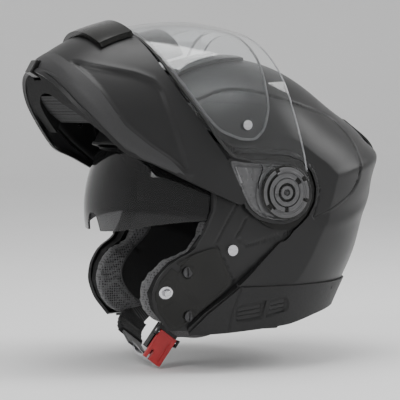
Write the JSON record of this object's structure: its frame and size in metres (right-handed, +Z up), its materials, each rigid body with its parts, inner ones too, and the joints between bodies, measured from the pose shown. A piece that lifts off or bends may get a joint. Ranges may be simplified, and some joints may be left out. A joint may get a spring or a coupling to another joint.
{
  "type": "motorcycle helmet",
  "caption": "Flip-up motorcycle helmet with raised chin bar, clear outer visor, tinted inner sun shade, cheek pads, liner and chin strap with ratchet buckle.",
  "frame": {"origin": "middle of the axis on which the chin bar and visor turn, at the centre of the head cavity", "axes": "+Z up, -Y the way the wearer looks, +X the wearer's left; the chin bar and visor turn about X"},
  "size_m": [0.2452, 0.3673, 0.3439],
  "materials": {
    "shell_paint": "satin",
    "trim_plastic": "textured",
    "black_gloss": "gloss",
    "clear_lens": "clear",
    "smoke_lens": "tinted",
    "foam": "moulded bead foam",
    "lining_fabric": "brushed cloth",
    "mesh_fabric": "open mesh",
    "webbing": "woven",
    "rubber": "matte",
    "steel": "bright",
    "red_plastic": "satin",
    "grille_mesh": "matte"
  },
  "bodies": {
    "helmet": {"outer_shell": "shell_paint", "eps_liner": "foam", "comfort_liner": "lining_fabric", "cheek_core_left": "foam", "cheek_core_right": "foam", "cheek_pad_left": "mesh_fabric", "cheek_pad_right": "mesh_fabric", "neck_roll": "lining_fabric", "lower_trim": "trim_plastic", "eyeport_gasket": "rubber", "latch_plate_left": "black_gloss", "latch_plate_right": "black_gloss", "plate_screws": "steel", "striker_left": "steel", "striker_right": "steel", "guide_pins": "steel", "pivot_base_left": "black_gloss", "pivot_base_right": "black_gloss", "pivot_hub_left": "steel", "pivot_hub_right": "steel", "pivot_cover_left": "black_gloss", "pivot_cover_right": "black_gloss", "pivot_screw_left": "steel", "pivot_screw_right": "steel", "top_vent_base": "black_gloss", "rear_vent_cover": "shell_paint", "rear_screws": "steel", "shade_pivots": "steel", "strap_left": "webbing", "strap_right": "webbing", "strap_pad": "lining_fabric", "strap_rivets": "steel", "buckle_receiver": "black_gloss", "buckle_pin": "steel", "ratchet_tongue": "steel"},
    "buckle_lever": {"buckle_lever": "red_plastic"},
    "sun_shade": {"sun_shade": "smoke_lens"},
    "shade_slider": {"shade_slider": "black_gloss"},
    "top_vent_slider": {"top_vent_slider": "black_gloss"},
    "chin_bar": {"chin_shell": "shell_paint", "chin_trim": "trim_plastic", "chin_liner": "foam", "chin_grille": "grille_mesh", "breath_guard": "rubber", "latch_fork_left": "steel", "latch_fork_right": "steel"},
    "chin_vent_cover": {"chin_vent_cover": "black_gloss"},
    "release_button": {"release_button": "black_gloss"},
    "visor": {"visor": "clear_lens", "lens_pins": "black_gloss"}
  },
  "joints": [
    {"name": "chin_bar_flip", "type": "hinge", "parent": "helmet", "child": "chin_bar", "pos_m": [0, 0, 0], "axis": [-1, 0, 0], "range_deg": [-68, 0]},
    {"name": "visor_tilt", "type": "hinge", "parent": "chin_bar", "child": "visor", "pos_m": [0, 0, 0], "axis": [-1, 0, 0], "range_deg": [0, 38]},
    {"name": "shade_slide", "type": "slide", "parent": "helmet", "child": "shade_slider", "axis": [0, 1, 0], "range_m": [0, 0.022]},
    {"name": "shade_drop", "type": "hinge", "parent": "helmet", "child": "sun_shade", "pos_m": [0, -0.026, -0.02], "axis": [-1, 0, 0], "range_deg": [0, 40]},
    {"name": "top_vent", "type": "slide", "parent": "helmet", "child": "top_vent_slider", "axis": [0, 0.9511, 0.309], "range_m": [0, 0.008]},
    {"name": "chin_vent", "type": "slide", "parent": "chin_bar", "child": "chin_vent_cover", "axis": [0, 0.7193, 0.6947], "range_m": [-0.0015, 0.004]},
    {"name": "release_press", "type": "slide", "parent": "chin_bar", "child": "release_button", "axis": [0, 0.8704, -0.4924], "range_m": [0, 0.003], "stiffness_N_per_m": 400},
    {"name": "buckle_lift", "type": "hinge", "parent": "helmet", "child": "buckle_lever", "pos_m": [0.045, -0.0905, -0.1415], "axis": [0, -0.8, 0.6], "range_deg": [0, 30], "stiffness_Nm_per_rad": 0.06}
  ],
  "couplings": [
    {"joint": "shade_drop", "follows": "shade_slide", "rad_per_m": 31.733}
  ]
}
